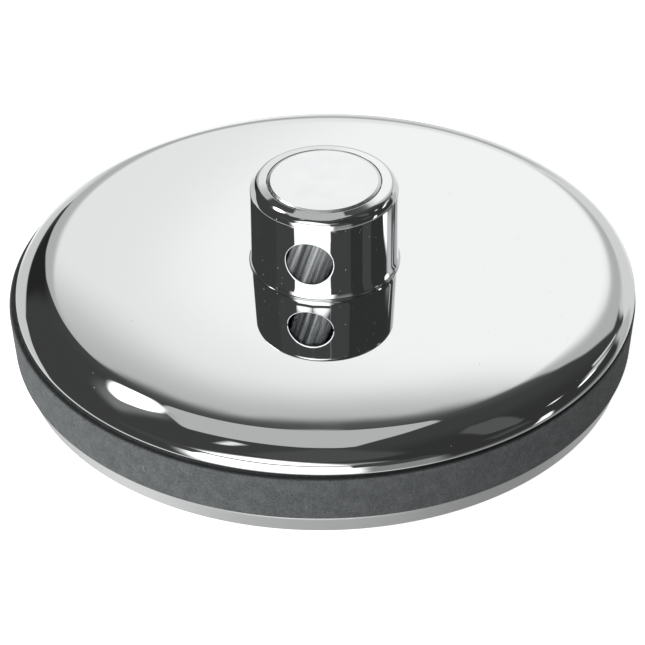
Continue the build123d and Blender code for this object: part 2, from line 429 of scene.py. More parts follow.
class Finish:
    """Common work of all finishes: one material with a Principled shader."""

    name = "finish"

    def material(self) -> bpy.types.Material:
        """Build the material once and return it each time."""
        found = bpy.data.materials.get(self.name)
        if found:
            return found
        made = bpy.data.materials.new(self.name)
        made.use_nodes = True
        kit = NodeKit(made.node_tree)
        place = kit.node("ShaderNodeTexCoord", output="Object")
        shader = self.shader(kit, place)
        kit.node("ShaderNodeOutputMaterial", values={"Surface": shader})
        return made

    def shader(self, kit: NodeKit, place: Socket) -> Socket:
        """Add the finish's own nodes and return its shader."""
        raise NotImplementedError

    @staticmethod
    def noise(kit: NodeKit, place: Socket, grain: float, detail: float = 3.0) -> Socket:
        """Return even noise whose features measure about one grain."""
        values = {"Vector": place, "Scale": 1.0 / grain, "Detail": detail}
        return kit.node("ShaderNodeTexNoise", values=values)

    @staticmethod
    def specks(kit: NodeKit, place: Socket, pitch: float, radius: float, share: float) -> Socket:
        """Return round specks.

        Args:
            kit: The material's node kit.
            place: Object coordinates.
            pitch: Distance between places that may hold a speck.
            radius: Largest radius of a speck.
            share: Share of the places that hold one.

        Returns:
            1 on a speck and 0 beside it.
        """
        cell = {"Vector": place, "Scale": 1.0 / pitch}
        away = kit.node("ShaderNodeTexVoronoi", values=cell, output="Distance")
        drawn = kit.node("ShaderNodeTexVoronoi", values=cell, output="Color")
        lot = kit.node("ShaderNodeSeparateColor", values={"Color": drawn}, output="Red")
        size = kit.node("ShaderNodeSeparateColor", values={"Color": drawn}, output="Green")
        edge = (size * 0.6 + 0.4) * (radius / pitch)
        return (1.0 - (away / edge).ramp(0.7, 1.0)) * (lot < share)

    @staticmethod
    def bump(kit: NodeKit, height: Socket, depth: float) -> Socket:
        """Return the normal that a height from 0 to 1 gives at a real depth."""
        values = {"Height": height, "Distance": depth, "Strength": 1.0}
        return kit.node("ShaderNodeBump", values=values, output="Normal")


@dataclass(frozen=True)
class Chrome(Finish):
    """Mirror-bright plating with a little dust and a few short scratches."""

    name: str = "polished_chrome"
    colour: Colour = (0.875, 0.889, 0.893)
    gloss: float = 0.018
    smudge: float = 0.03
    smudge_size: float = 12.0 * MM
    dust_colour: Colour = (0.74, 0.75, 0.75)
    dust_pitch: float = 0.8 * MM
    dust_radius: float = 0.085 * MM
    dust_share: float = 0.06
    dust_gloss: float = 0.8
    scratch_pitch: float = 2.4 * MM
    scratch_width: float = 0.05 * MM
    scratch_stretch: float = 30.0
    scratch_share: float = 0.05
    scratch_gloss: float = 0.2
    scratch_turn: float = 0.7
    wave_length: float = 5.0 * MM
    wave_depth: float = 0.0006 * MM

    def shader(self, kit: NodeKit, place: Socket) -> Socket:
        """Mix dust over the plating and scratch it lightly."""
        dust = self.specks(kit, place, self.dust_pitch, self.dust_radius, self.dust_share)
        squeeze = (1.0, 1.0 / self.scratch_stretch, 1.0)
        turned = {"Vector": place, "Rotation": (0.0, 0.0, self.scratch_turn), "Scale": squeeze}
        stretched = kit.node("ShaderNodeMapping", values=turned)
        scratch = self.specks(kit, stretched, self.scratch_pitch, self.scratch_width, self.scratch_share)
        film = self.noise(kit, place, self.smudge_size, 4.0).ramp(0.45, 0.8)
        rough = film * self.smudge + scratch * self.scratch_gloss + self.gloss
        colour = kit.mix_colour(dust, self.colour, self.dust_colour)
        wave = self.noise(kit, place, self.wave_length, 1.0)
        return kit.node(
            "ShaderNodeBsdfPrincipled",
            values={
                "Base Color": colour,
                "Metallic": 1.0 - dust,
                "Roughness": rough.maximum(dust * self.dust_gloss),
                "Normal": self.bump(kit, wave, self.wave_depth),
            },
        )


@dataclass(frozen=True)
class Metal(Finish):
    """Plain metal with tool marks or brushing, and, where asked, dark streaks on the marks that paint a
    reflection into the colour.
    """

    name: str = "satin_steel"
    colour: Colour = (0.74, 0.75, 0.75)
    gloss: float = 0.3
    gloss_range: float = 0.12
    spread: Spread = Spread.ROUND_AXIS
    mark_width: float = 0.08 * MM
    mark_stretch: float = 60.0
    mark_depth: float = 0.002 * MM
    mark_reach: float = 20.0 * MM
    stain: float = 0.06
    stain_size: float = 4.0 * MM
    # Painted reflection: share and colour of dark streaks laid over the marks, standing in for dark
    # surroundings mirrored in the metal.
    reflection_streak: float = 0.0
    reflection_streak_colour: Colour = (0.16, 0.165, 0.17)

    def _stretched(self, kit: NodeKit, place: Socket) -> Socket:
        """Return coordinates in which the marks' direction is squeezed."""
        if self.spread is Spread.EVEN:
            return place
        x, y, z = kit.axes(place)
        if self.spread is Spread.ALONG_HOLE:
            return kit.join(x, y / self.mark_stretch, z)
        away, turn = kit.round_axis(place)
        return kit.join(away, turn * (self.mark_reach / self.mark_stretch), z)

    def shader(self, kit: NodeKit, place: Socket) -> Socket:
        """Draw the marks in bump and roughness, stain the colour a little, and where asked darken streaks
        along the marks as a painted reflection.
        """
        marks = self.noise(kit, self._stretched(kit, place), self.mark_width, 4.0)
        cloud = self.noise(kit, place, self.stain_size, 4.0)
        darker = tuple(c * (1.0 - 3.0 * self.stain) for c in self.colour)
        colour = kit.mix_colour(cloud.ramp(0.3, 0.75), self.colour, darker)
        # Painted reflection: the marks are darkened into streaks, in place of the dark surroundings that the
        # bore mirrors.
        if self.reflection_streak > 0:
            colour = kit.mix_colour(marks.ramp(0.42, 0.62) * self.reflection_streak, colour, self.reflection_streak_colour)
        rough = marks.ramp(0.3, 0.7) * self.gloss_range + cloud * 0.04 + (self.gloss - self.gloss_range / 2)
        return kit.node(
            "ShaderNodeBsdfPrincipled",
            values={
                "Base Color": colour,
                "Metallic": 1.0,
                "Roughness": rough,
                "Normal": self.bump(kit, marks, self.mark_depth),
            },
        )


@dataclass(frozen=True)
class Rubber(Finish):
    """Dull black rubber with a mottled skin, chalky specks and a few scuffs, and painted shade on the lip's
    top under the cover's rim.
    """

    name: str = "black_rubber"
    colour: Colour = (0.094, 0.102, 0.104)
    bloom_colour: Colour = (0.172, 0.182, 0.184)
    # Painted shade: the three lip fields darken the colour in a band of heights, where the cover's rim shades
    # the ring's lip.
    lip_painted_shade_band: Point = (9.3 * MM, 9.5 * MM)
    lip_painted_shade: float = 0.8
    lip_painted_shade_share: float = 0.12
    speck_colour: Colour = (0.34, 0.36, 0.36)
    mottle: float = 1.6 * MM
    grain: float = 0.3 * MM
    grain_depth: float = 0.08 * MM
    chalk: tuple[float, float, float] = (1.2 * MM, 0.12 * MM, 0.3)
    pits: tuple[float, float, float] = (0.8 * MM, 0.13 * MM, 0.4)
    pit_depth: float = 0.8
    pit_dark: float = 0.5
    scuff_width: float = 0.35 * MM
    scuff_stretch: float = 0.12
    scuff_turn: Point = (0.5, 0.3)
    scuff_shade: float = 0.35

    def _darker(self, share: float) -> Colour:
        """Return the rubber's colour, darkened to a share of itself."""
        return tuple(part * share for part in self.colour)

    def shader(self, kit: NodeKit, place: Socket) -> Socket:
        """Mottle the skin, then add specks, pits and scuffs, and paint shade over the lip's top."""
        bloom = self.noise(kit, place, self.mottle, 5.0).ramp(0.35, 0.7)
        fine = self.noise(kit, place, self.grain, 3.0)
        colour = kit.mix_colour(bloom * 0.45 + fine.ramp(0.3, 0.7) * 0.6, self.colour, self.bloom_colour)
        chalk = self.specks(kit, place, *self.chalk)
        pits = self.specks(kit, place, *self.pits) * self.pit_depth
        slant = {"Vector": place, "Rotation": (*self.scuff_turn, 0.0), "Scale": (1, 1, self.scuff_stretch)}
        scuff = self.noise(kit, kit.node("ShaderNodeMapping", values=slant), self.scuff_width, 2.0)
        colour = kit.mix_colour(scuff.ramp(0.68, 0.76) * self.scuff_shade, colour, self.speck_colour)
        colour = kit.mix_colour(chalk, colour, self.speck_colour)
        colour = kit.mix_colour(pits, colour, self._darker(self.pit_dark))
        # Painted shade: the colour darkens towards the top of the lip, where the cover's rim overhangs it.
        lip = kit.axes(place)[2].ramp(*self.lip_painted_shade_band)
        colour = kit.mix_colour(lip * self.lip_painted_shade, colour, self._darker(self.lip_painted_shade_share))
        height = fine + bloom * 0.4 - pits
        return kit.node(
            "ShaderNodeBsdfPrincipled",
            values={
                "Base Color": colour,
                "Roughness": bloom * 0.1 + 0.68,
                "Specular IOR Level": 0.35,
                "Normal": self.bump(kit, height, self.grain_depth),
            },
        )


@dataclass(frozen=True)
class Nylon(Finish):
    """Natural nylon with a faint moulded grain."""

    name: str = "natural_nylon"
    colour: Colour = (0.85, 0.84, 0.8)
    cloud_size: float = 3.0 * MM
    grain: float = 0.12 * MM
    grain_depth: float = 0.01 * MM

    def shader(self, kit: NodeKit, place: Socket) -> Socket:
        """Vary the tone and the grain slightly."""
        cloud = self.noise(kit, place, self.cloud_size, 3.0)
        colour = kit.mix_colour(cloud, self.colour, tuple(part * 0.88 for part in self.colour))
        relief = self.bump(kit, self.noise(kit, place, self.grain, 2.0), self.grain_depth)
        values = {"Base Color": colour, "Roughness": cloud * 0.15 + 0.4, "Normal": relief}
        return kit.node("ShaderNodeBsdfPrincipled", values=values)


CHROME = Chrome()
KNOB_CHROME = Chrome("knob_chrome", dust_share=0.45)
INLAY_FINISH = Metal(
    "satin_inlay", (0.93, 0.94, 0.945), gloss=0.2, gloss_range=0.08, spread=Spread.EVEN,
    mark_depth=0.0006 * MM, stain=0.01,
)
PLATE_FINISH = Metal("satin_steel")
# The bore's dark streaks along the hole are a painted reflection laid over its real tool marks.
BORE_FINISH = Metal(
    "reamed_bore", (0.88, 0.89, 0.895), gloss=0.14, spread=Spread.ALONG_HOLE,
    mark_width=0.9 * MM, mark_depth=0.02 * MM, reflection_streak=0.85,
)
SHANK_FINISH = Metal("turned_shank", (0.62, 0.62, 0.62), gloss=0.3)
SPRING_FINISH = Metal(
    "spring_steel", (0.45, 0.45, 0.46), gloss=0.35, spread=Spread.EVEN, mark_depth=0.004 * MM, stain=0.1
)
BRASS_FINISH = Metal("turned_brass", (0.72, 0.56, 0.28), gloss=0.28, stain=0.08)
RUBBER_FINISH = Rubber()
NYLON_FINISH = Nylon()


@dataclass
class CoverShell:
    """The domed cover: three tangent arcs outside, the same arcs one wall further in."""

    rim_height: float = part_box("cover")[0].z
    radius: float = 42.5 * MM
    wall: float = 1.2 * MM
    crown: float = 400.0 * MM
    shoulder: float = 12.0 * MM
    edge: float = 1.9 * MM
    edge_lean: float = 28.4
    rim_rounding: float = 0.25 * MM
    inner_rounding: float = 0.12 * MM
    hole: float = 3.05 * MM
    steps: int = 360
    crown_steps: int = 72
    shoulder_steps: int = 36
    edge_steps: int = 30

    def outline(self) -> Outline:
        """Draw the section from the hole over the crown to the rim and back inside."""
        edge_at = Vector((self.radius - self.edge, self.rim_height))
        lean = math.radians(self.edge_lean)
        shoulder_at = edge_at - Vector((math.sin(lean), math.cos(lean))) * (self.shoulder - self.edge)
        crown_lean = math.asin(shoulder_at.x / (self.crown - self.shoulder))
        crown_at = Vector((0.0, shoulder_at.y - (self.crown - self.shoulder) * math.cos(crown_lean)))
        upright = QUARTER_TURN
        low, high = upright - self.edge_lean, upright - math.degrees(crown_lean)
        foot = math.degrees(math.asin(self.rim_rounding / (self.edge - self.rim_rounding)))
        out = Outline()
        out.arc(crown_at, self.crown, upright - math.degrees(self.hole / self.crown), high, self.crown_steps)
        out.arc(shoulder_at, self.shoulder, high, low, self.shoulder_steps)
        out.arc(edge_at, self.edge, low, foot, self.edge_steps)
        rounding_at = edge_at + Vector(
            ((self.edge - self.rim_rounding) * math.cos(math.radians(foot)), self.rim_rounding)
        )
        out.arc(rounding_at, self.rim_rounding, foot, -QUARTER_TURN)
        inner = self.edge - self.wall
        reach = inner + self.inner_rounding
        back = math.degrees(math.asin(self.inner_rounding / reach))
        inside_at = edge_at + Vector((reach * math.cos(math.radians(back)), self.inner_rounding))
        out.arc(inside_at, self.inner_rounding, -QUARTER_TURN, -HALF_TURN + back)
        out.arc(edge_at, inner, back, low, self.edge_steps)
        out.arc(shoulder_at, self.shoulder - self.wall, low, high, self.shoulder_steps // 2)
        ceiling = self.crown - self.wall
        out.arc(crown_at, ceiling, high, upright - math.degrees(self.hole / ceiling), self.crown_steps // 2)
        out.corners([(*out.points[-1], 0.0), (*out.points[0], 0.0)])
        out.points.pop()
        return out

    def build(self, turning: Turning) -> bpy.types.Object:
        """Turn the cover and hang it on its body."""
        piece = turning.turn("cover_shell", self.outline(), CHROME.material(), self.steps)
        stand_for(piece, "cover", "cover_body")
        return piece


@dataclass
class FingerKnob:
    """The knob with its flared foot, cross hole and threaded shank, in one closed mesh."""

    radius: float = 10.05 * MM
    base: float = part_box("knob")[0].z
    top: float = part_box("knob")[1].z
    height: float = 12.31 * MM
    top_arc: float = 2.3 * MM
    shoulder: float = 1.25 * MM
    top_lean: float = 20.0
    land_lean: float = 8.5
    flare: float = 9.0 * MM
    flare_turn: float = 7.0
    fillet: float = 0.2 * MM
    fillet_turn: float = 73.0
    ledge: float = 0.07 * MM
    lip_drop: float = 0.15 * MM
    lip_width: float = 0.35 * MM
    lip_rounding: float = 0.04 * MM
    hole_radius: float = 3.2 * MM
    hole_height: float = 20.12 * MM
    hole_mouth: float = 0.18 * MM
    shank: float = 3.0 * MM
    tip_chamfer: float = 0.25 * MM
    tip_rounding: float = 0.02 * MM
    groove_depth: float = 0.6 * MM
    groove_play: float = 0.04 * MM
    inlay_gap: float = 0.12 * MM
    washer_recess: Point = (7.8 * MM, 0.6 * MM)
    o_ring_recess: Point = (4.6 * MM, 1.35 * MM)
    small_rounding: float = 0.08 * MM
    thread_pitch: float = 1.0 * MM
    thread_depth: float = 0.5 * MM
    thread_margin: Point = (0.15 * MM, 0.3 * MM)
    thread_shares: Point = (0.12, 0.85)
    runout_share: float = 0.6
    thread_rows: int = 12
    top_steps: tuple[int, int] = (10, 24)
    foot_steps: tuple[int, int] = (14, 10)
    steps: int = 192
    patch_cells: int = 28
    patch_height: float = 8.0 * MM
    patch_rings: tuple[float, ...] = (0.0, 0.04, 0.12, 0.3, 0.5, 0.75, 1.0)
    mouth_steps: int = 6
    bore_steps: int = 24

    @property
    def thread_ends(self) -> Point:
        """Return the heights of the thread's foot and top, between the two clips."""
        foot, top = self.thread_margin
        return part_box("stop_clip")[1].z + foot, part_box("cover_clip")[0].z - top

    def _rows_above(self) -> list[Point]:
        """Outline from the centre of the inlay's recess to the wall's upper end."""
        inlay_low, inlay_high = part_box("knob_inlay")
        recess = inlay_high.x + self.inlay_gap
        out = Outline()
        rounding = self.small_rounding
        step = self.top_arc - self.shoulder
        turned = QUARTER_TURN - self.top_lean
        rise = math.radians(turned)
        land = self.radius - self.shoulder - step * math.cos(rise)
        arc_height = self.top - self.top_arc
        lean = math.radians(self.land_lean)
        brow = land + self.top_arc * math.sin(lean)
        brow_height = arc_height + self.top_arc * math.cos(lean)
        out.corners(
            [(0.0, inlay_low.z, 0.0), (recess, inlay_low.z, rounding),
             (recess, brow_height + (brow - recess) * math.tan(lean), rounding / 2), (brow, brow_height, 0.0)]
        )
        first, last = self.top_steps
        out.arc((land, arc_height), self.top_arc, QUARTER_TURN - self.land_lean, turned, first)
        shoulder_at = (self.radius - self.shoulder, arc_height + step * math.sin(rise))
        out.arc(shoulder_at, self.shoulder, turned, 0.0, last)
        return out.points

    def _rows_below(self) -> list[Point]:
        """Outline from the wall's lower end over the foot and down the shank to its tip."""
        seat = self.top - self.height
        first, last = math.radians(self.flare_turn), math.radians(self.fillet_turn)
        fillet_radius = self.radius + self.flare * (1 - math.cos(first)) + self.fillet * math.cos(first)
        fillet_at = (fillet_radius, seat + self.fillet * math.sin(last))
        foot = fillet_radius - self.fillet * math.cos(last)
        step = self.flare - self.fillet
        flare_at = (self.radius + self.flare, fillet_at[1] + step * math.sin(first))
        fillet_end = HALF_TURN + self.fillet_turn
        tip = self.base
        thread_foot, thread_top = self.thread_ends
        rounding = self.small_rounding
        washer_radius, washer_depth = self.washer_recess
        ring_radius, ring_depth = self.o_ring_recess
        out = Outline()
        out.arc(flare_at, self.flare, HALF_TURN, HALF_TURN + self.flare_turn, self.foot_steps[0])
        out.arc(fillet_at, self.fillet, HALF_TURN + self.flare_turn, fillet_end, self.foot_steps[1])
        lip = seat - self.lip_drop
        edge = foot + self.ledge
        drop = self.ledge / math.tan(last)
        out.corners(
            [(*out.points.pop(), 0.0), (edge, seat - drop, self.lip_rounding),
             (edge, lip, self.lip_rounding), (foot - self.lip_width, lip, self.lip_rounding),
             (foot - self.lip_width, seat, self.lip_rounding),
             (washer_radius, seat, rounding), (washer_radius, seat + washer_depth, rounding),
             (ring_radius, seat + washer_depth, rounding), (ring_radius, seat + ring_depth, rounding),
             (self.shank, seat + ring_depth, rounding)]
            + self._groove("cover_clip")
            + [(self.shank, thread_top, 0.0)]
        )
        rows = math.ceil((thread_top - thread_foot) / self.thread_pitch * self.thread_rows)
        for i in range(rows):
            out.points.append((self.shank, thread_top + (thread_foot - thread_top) * (i + 1) / rows))
        out.corners(
            [(self.shank, thread_foot, 0.0)]
            + self._groove("stop_clip")
            + [(self.shank, tip + self.tip_chamfer, self.tip_rounding),
               (self.shank - self.tip_chamfer, tip, self.tip_rounding), (0.0, tip, 0.0)]
        )
        return out.points

    def _groove(self, clip: str) -> list[tuple[float, float, float]]:
        """Return the corners of the groove that one clip sits in, from the top down."""
        low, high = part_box(clip)
        play = self.groove_play
        root = self.shank - self.groove_depth
        rounding = self.small_rounding / 2
        return [(self.shank, high.z + play, rounding), (root, high.z + play, rounding),
                (root, low.z - play, rounding), (self.shank, low.z - play, rounding)]

    def _ring(self, radius: float, height: float) -> list[Vector]:
        """Return one full circle of points, from the front of the hole round."""
        turns = [2 * math.pi * (i / self.steps) - math.pi / 2 for i in range(self.steps)]
        return [Vector((radius * math.cos(t), radius * math.sin(t), height)) for t in turns]

    def _wall_point(self, along: float, height: float, side: int) -> Vector:
        """Return the wall's point at a length along the wall from the hole's middle, on the front or back."""
        angle = along / self.radius
        return Vector((self.radius * math.sin(angle), -side * self.radius * math.cos(angle), height))

    def _patch_edge(self) -> list[Point]:
        """Return the points round the hole's patch, as length along the wall and height from the hole."""
        n = self.patch_cells
        half_wide = math.pi * self.radius * n / self.steps
        half_high = self.patch_height / 2
        steps = [2 * i / n - 1 for i in range(n)]
        sides = [(1, s) for s in steps] + [(-s, 1) for s in steps]
        sides += [(-u, -v) for u, v in sides]
        return [(u * half_wide, v * half_high) for u, v in sides]

    def _mouth_point(self, angle: float, radius: float, sink: float, side: int) -> Vector:
        """Return a point at an angle round the hole, sunk below the wall."""
        x = radius * math.cos(angle)
        depth = math.sqrt(self.radius**2 - x**2) - sink
        return Vector((x, -side * depth, self.hole_height + radius * math.sin(angle)))

    def _hole_rows(self, side: int) -> list[list[Vector]]:
        """Return rings from the wall's patch through the rounded mouth into the hole."""
        edge = self._patch_edge()
        angles = [math.atan2(v, u) for u, v in edge]
        outer = self.hole_radius + self.hole_mouth
        rows = []
        for share in reversed(self.patch_rings):
            row = []
            for (u, v), angle in zip(edge, angles):
                x = outer * math.cos(angle)
                start = (self.radius * math.asin(x / self.radius), outer * math.sin(angle))
                along = start[0] + (u - start[0]) * share
                height = start[1] + (v - start[1]) * share
                row.append(self._wall_point(along, self.hole_height + height, side))
            rows.append(row)
        for i in range(1, self.mouth_steps + 1):
            lean = math.pi / 2 * i / self.mouth_steps
            radius = self.hole_radius + self.hole_mouth * (1 - math.sin(lean))
            sink = self.hole_mouth * (1 - math.cos(lean))
            rows.append([self._mouth_point(a, radius, sink, side) for a in angles])
        return rows

    @staticmethod
    def _fill(
        body: bmesh.types.BMesh, rows: list[list[Vector]], finish: int = 0, skip: set[int] | None = None
    ) -> None:
        """Join rows of points with faces.

        Args:
            body: The mesh to add to.
            rows: Closed rings with equal counts of points.
            finish: Number of the faces' material.
            skip: Columns to leave out, for the hole's patch.
        """
        made = [[body.verts.new(p) for p in row] for row in rows]
        for upper, lower in zip(made, made[1:]):
            count = len(upper)
            for i in range(count):
                if skip and i in skip:
                    continue
                j = (i + 1) % count
                body.faces.new((upper[i], lower[i], lower[j], upper[j])).material_index = finish

    def mesh(self) -> bpy.types.Mesh:
        """Build the whole knob as one closed mesh."""
        body = bmesh.new()
        above = [self._ring(r, z) for r, z in self._rows_above()]
        below = [self._ring(r, z) for r, z in self._rows_below()]
        self._fill(body, above)
        self._fill(body, below)
        n = self.patch_cells
        patch_foot = self.hole_height - self.patch_height / 2
        middle = [self._ring(self.radius, patch_foot + self.patch_height * (1 - i / n)) for i in range(n + 1)]
        self._fill(body, [above[-1], middle[0]])
        self._fill(body, [middle[-1], below[0]])
        half = n // 2
        hidden = {(centre + i) % self.steps for centre in (0, self.steps // 2) for i in range(-half, half)}
        self._fill(body, middle, skip=hidden)
        front, back = self._hole_rows(1), self._hole_rows(-1)
        self._fill(body, front)
        self._fill(body, back)
        spans = self.bore_steps
        mouths = list(zip(front[-1], back[-1]))
        bore = [[near.lerp(far, i / spans) for near, far in mouths] for i in range(spans + 1)]
        self._fill(body, bore, 1)
        mesh = bpy.data.meshes.new("knob_turned")
        close_up(body, mesh)
        for finish in (KNOB_CHROME, BORE_FINISH):
            mesh.materials.append(finish.material())
        return mesh

    def _thread_tree(self) -> GeometryTree:
        """Make the tree that cuts a helical groove into the shank."""
        tree = GeometryTree(
            "cut_thread",
            {"Shank Radius": "NodeSocketFloat", "Pitch": "NodeSocketFloat", "Depth": "NodeSocketFloat",
             "Foot": "NodeSocketFloat", "Top": "NodeSocketFloat", "Finish": "NodeSocketMaterial"},
        )
        kit = tree.kit
        place = kit.node("GeometryNodeInputPosition")
        away, turn = kit.round_axis(place)
        z = kit.axes(place)[2]
        phase = (z / tree.input("Pitch") - turn / (2 * math.pi)).fraction()
        groove = 1.0 - (phase * 2.0 - 1.0).size().ramp(*self.thread_shares)
        runout = self.thread_pitch * self.runout_share
        from_foot = ((z - tree.input("Foot")) / runout).ramp(0.0, 1.0)
        from_top = ((tree.input("Top") - z) / runout).ramp(0.0, 1.0)
        on_shank = (away - tree.input("Shank Radius")).size() < 0.05 * MM
        cut = groove * from_foot * from_top * on_shank * tree.input("Depth")
        share = 0.0 - cut / away
        inwards = kit.vector("MULTIPLY", place, kit.join(share, share, 0.0))
        moved = kit.node("GeometryNodeSetPosition", values={"Geometry": tree.input(), "Offset": inwards})
        shank = (away < self.shank + 0.3 * MM) * (z < self.top - self.height + 1.2 * MM)
        tree.close(moved, tree.input("Finish"), shank)
        return tree

    def build(self) -> bpy.types.Object:
        """Make the knob, cut its thread and hang it on its body."""
        piece = bpy.data.objects.new("knob_turned", self.mesh())
        bpy.context.scene.collection.objects.link(piece)
        foot, top = self.thread_ends
        self._thread_tree().bake(
            piece,
            {
                "Shank Radius": self.shank,
                "Pitch": self.thread_pitch,
                "Depth": self.thread_depth,
                "Foot": foot,
                "Top": top,
                "Finish": SHANK_FINISH.material(),
            },
        )
        stand_for(piece, "knob", "knob_body")
        return piece


@dataclass
class KnobInlay:
    """The flat disc let into the knob's top, standing a little proud with a shallow chamfer."""

    chamfer_width: float = 0.42 * MM
    chamfer_height: float = 0.14 * MM
    rounding: float = 0.12 * MM
    foot_rounding: float = 0.05 * MM
    steps: int = 192

    def build(self, turning: Turning) -> bpy.types.Object:
        """Turn the disc and hang it on its body."""
        low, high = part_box("knob_inlay")
        radius = outer_radius("knob_inlay")
        out = Outline().corners(
            [(0.0, high.z, 0.0), (radius - self.chamfer_width, high.z, self.rounding),
             (radius, high.z - self.chamfer_height, self.foot_rounding), (radius, low.z, self.foot_rounding),
             (0.0, low.z, 0.0)]
        )
        piece = turning.turn("inlay_disc", out, INLAY_FINISH.material(), self.steps, closed=False)
        stand_for(piece, "knob_inlay", "knob_body")
        return piece


@dataclass
class SealRing:
    """The rubber ring: a tapered wall with a rounded lip under the cover's rim."""

    seat_radius: float = 42.45 * MM
    width: float = 9.05 * MM
    lip_radius: float = 43.0 * MM
    lip_drop: float = 0.35 * MM
    lip_rounding: float = 0.45 * MM
    foot_rounding: float = 0.3 * MM
    land_radius: float = 42.15 * MM
    spigot_radius: float = 40.8 * MM
    small_rounding: float = 0.1 * MM
    drift: float = 0.38 * MM
    steps: int = 360

    def build(self, turning: Turning, towards: Vector) -> bpy.types.Object:
        """Turn the ring and hang it on its body.

        Args:
            turning: The turning tree.
            towards: Unit vector of the side to which the soft ring has settled.

        Returns:
            The ring.
        """
        low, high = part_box("seal_ring")
        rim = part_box("cover")[0].z
        lip = rim - self.lip_drop
        inner = self.seat_radius - self.width
        rounding = self.small_rounding
        out = Outline(arc_step=9.0).corners(
            [(inner + self.width / 2, low.z, 0.0), (self.seat_radius, low.z, self.foot_rounding),
             (self.lip_radius, lip, self.lip_rounding), (self.land_radius, lip, rounding),
             (self.land_radius, rim, rounding), (self.spigot_radius, rim, rounding),
             (self.spigot_radius, high.z, rounding), (inner, high.z, rounding),
             (inner, low.z, rounding), (inner + self.width / 2, low.z, 0.0)]
        )
        out.points.pop()
        piece = turning.turn("seal_ring_soft", out, RUBBER_FINISH.material(), self.steps)
        piece.data.transform(Matrix.Translation(towards * self.drift))
        stand_for(piece, "seal_ring", "plate_body")
        return piece


@dataclass
class BottomPlate:
    """The pressed plate: a skirt to stand on, the ring's seat and a raised centre."""

    foot_radius: float = 41.35 * MM
    seat_radius: float = 42.0 * MM
    wall: float = 1.2 * MM
    edge_rounding: float = 0.5 * MM
    foot_rounding: float = 0.28 * MM
    drift: float = 0.3 * MM
    bend_rounding: float = 1.5 * MM
    centre_foot_radius: float = 31.6 * MM
    centre_top_radius: float = 29.4 * MM
    hole: float = 4.45 * MM
    small_rounding: float = 0.12 * MM
    steps: int = 360

    def build(self, turning: Turning, towards: Vector) -> bpy.types.Object:
        """Turn the plate and hang it on its body.

        Args:
            turning: The turning tree.
            towards: Unit vector of the side to which the plate has settled.

        Returns:
            The plate.
        """
        low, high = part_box("bottom_plate")
        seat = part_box("seal_ring")[0].z
        top, wall = high.z, self.wall
        small, bend = self.small_rounding, self.bend_rounding
        out = Outline().corners(
            [(self.foot_radius - wall / 2, low.z, 0.0), (self.foot_radius, low.z, self.foot_rounding),
             (self.seat_radius, seat, self.edge_rounding), (self.centre_foot_radius, seat, bend),
             (self.centre_top_radius, top, bend), (self.hole, top, small), (self.hole, top - wall, small),
             (self.centre_top_radius - wall, top - wall, bend - wall),
             (self.centre_foot_radius - wall, seat - wall, bend + wall),
             (self.seat_radius - wall - self.edge_rounding, seat - wall, small),
             (self.foot_radius - wall, low.z, small), (self.foot_radius - wall / 2, low.z, 0.0)]
        )
        out.points.pop()
        piece = turning.turn("plate_pressed", out, PLATE_FINISH.material(), self.steps)
        piece.data.transform(Matrix.Translation(towards * self.drift))
        stand_for(piece, "bottom_plate", "plate_body")
        return piece


@dataclass
class InnerParts:
    """The small parts that keep their CAD shape and get their finish here."""

    finishes: dict[str, Finish] = field(
        default_factory=lambda: {
            "cover_hub": BRASS_FINISH,
            "captive_nut": BRASS_FINISH,
            "thrust_washer": NYLON_FINISH,
            "shank_o_ring": RUBBER_FINISH,
            "seal_washer": RUBBER_FINISH,
            "cover_clip": SPRING_FINISH,
            "stop_clip": SPRING_FINISH,
        }
    )

    def dress(self) -> None:
        """Give each part its finish."""
        for node, finish in self.finishes.items():
            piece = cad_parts[node]
            for place in piece.material_slots:
                place.material = finish.material()
            LOG.info("%s: CAD shape, finish %s", node, finish.name)


@dataclass(frozen=True)
class Card:
    """One plain card or light round the object, as seen from it.

    Corners are (azimuth, elevation) in degrees. Azimuth 0 is straight behind the object as the camera sees
    it, and grows to the right. A card with one corner fills everything below that corner's elevation.
    """

    level: float
    corners: tuple[Point, ...]
    softness: float = 1.0


@dataclass(frozen=True)
class Lamp:
    """A soft square lamp that lights dull surfaces only; its place is given as a card's corner is."""

    azimuth: float
    elevation: float
    distance: float
    size: float
    power: float


